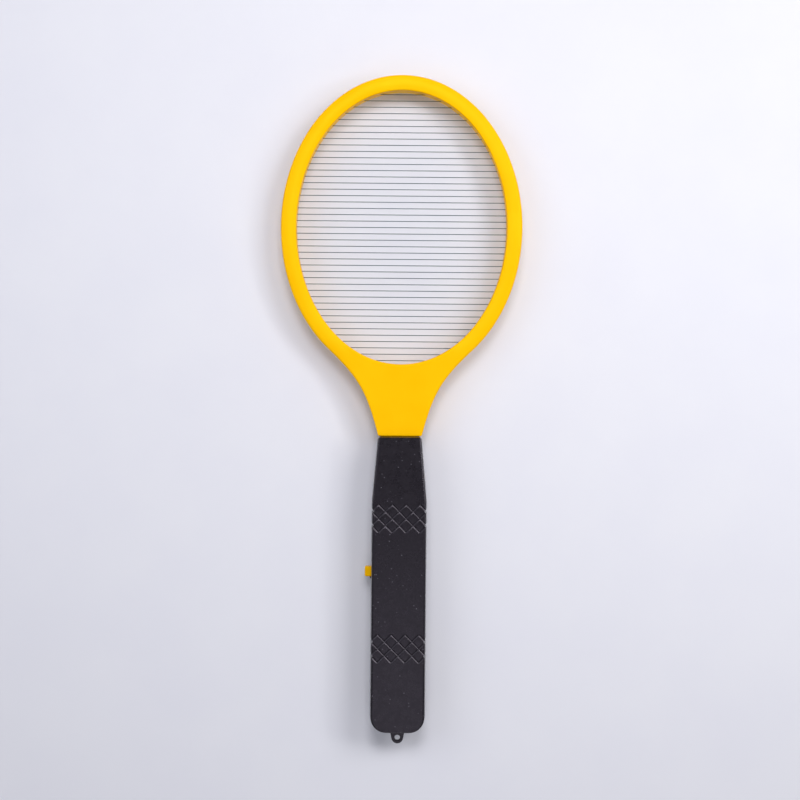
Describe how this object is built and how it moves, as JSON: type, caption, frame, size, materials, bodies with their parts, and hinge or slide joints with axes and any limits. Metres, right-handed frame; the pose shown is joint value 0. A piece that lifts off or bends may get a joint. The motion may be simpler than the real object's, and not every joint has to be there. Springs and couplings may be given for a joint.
{
  "type": "electric fly swatter",
  "caption": "Hand-held electric fly swatter: an oval head with a grid of parallel wires, a curved neck, and a straight battery handle with a side push button and a hanging loop.",
  "frame": {"origin": "centre of the bounding box footprint, on the surface that the handle lies on", "axes": "+X to the right of the front face, +Y from the handle to the tip of the head, +Z out of the front face"},
  "size_m": [0.1596, 0.4426, 0.027],
  "materials": {
    "yellow_plastic": "moulded ABS, satin",
    "black_plastic": "moulded ABS, fine spark texture",
    "grid_wire": "drawn plated wire",
    "screw_steel": "zinc plated",
    "switch_plastic": "moulded",
    "white_plastic": "moulded nylon",
    "board": "phenolic laminate",
    "ferrite": "sintered",
    "copper_wire": "enamelled copper",
    "capacitor_coating": "dipped epoxy",
    "blue_ceramic": "coated ceramic",
    "component_black": "moulded epoxy",
    "resistor_coating": "lacquer",
    "cell_jacket": "printed film over steel, no text",
    "contact_metal": "nickel plated spring steel",
    "lead_red": "PVC sleeve",
    "lead_white": "PVC sleeve",
    "lead_black": "PVC sleeve"
  },
  "bodies": {
    "housing": {"head_front_shell": "yellow_plastic", "head_rear_shell": "yellow_plastic", "grid_live_comb": "grid_wire", "grid_return_comb": "grid_wire", "handle_front_shell": "black_plastic", "handle_rear_shell": "black_plastic", "switch_body": "switch_plastic", "circuit_board": "board", "transformer_core": "ferrite", "transformer_bobbin": "white_plastic", "transformer_winding": "copper_wire", "storage_capacitor": "capacitor_coating", "multiplier_capacitor_1": "blue_ceramic", "multiplier_capacitor_2": "blue_ceramic", "rectifier_diode_1": "component_black", "rectifier_diode_2": "component_black", "rectifier_diode_3": "component_black", "oscillator_transistor": "component_black", "base_resistor": "resistor_coating", "bleed_resistor": "resistor_coating", "battery_1": "cell_jacket", "battery_2": "cell_jacket", "contact_positive": "contact_metal", "contact_negative": "contact_metal", "contact_bridge": "contact_metal", "contact_spring_lower": "contact_metal", "contact_spring_upper": "contact_metal", "high_voltage_lead_live": "lead_red", "high_voltage_lead_return": "lead_white", "battery_lead_positive": "lead_red", "battery_lead_negative": "lead_black", "head_screw_1": "screw_steel", "head_screw_2": "screw_steel", "head_screw_3": "screw_steel", "head_screw_4": "screw_steel", "head_screw_5": "screw_steel", "head_screw_6": "screw_steel", "head_screw_7": "screw_steel", "head_screw_8": "screw_steel", "neck_screw_1": "screw_steel", "neck_screw_2": "screw_steel", "handle_screw_1": "screw_steel", "handle_screw_2": "screw_steel", "handle_screw_3": "screw_steel", "handle_screw_4": "screw_steel"},
    "push_button": {"push_button": "yellow_plastic", "switch_plunger": "white_plastic"},
    "battery_cover": {"battery_cover": "black_plastic"}
  },
  "joints": [
    {"name": "button_press", "type": "slide", "parent": "housing", "child": "push_button", "axis": [1, 0, 0], "range_m": [0, 0.0015], "stiffness_N_per_m": 700, "springref_m": -0.001},
    {"name": "battery_cover_slide", "type": "slide", "parent": "housing", "child": "battery_cover", "axis": [0, -1, 0], "range_m": [0, 0.07]}
  ]
}
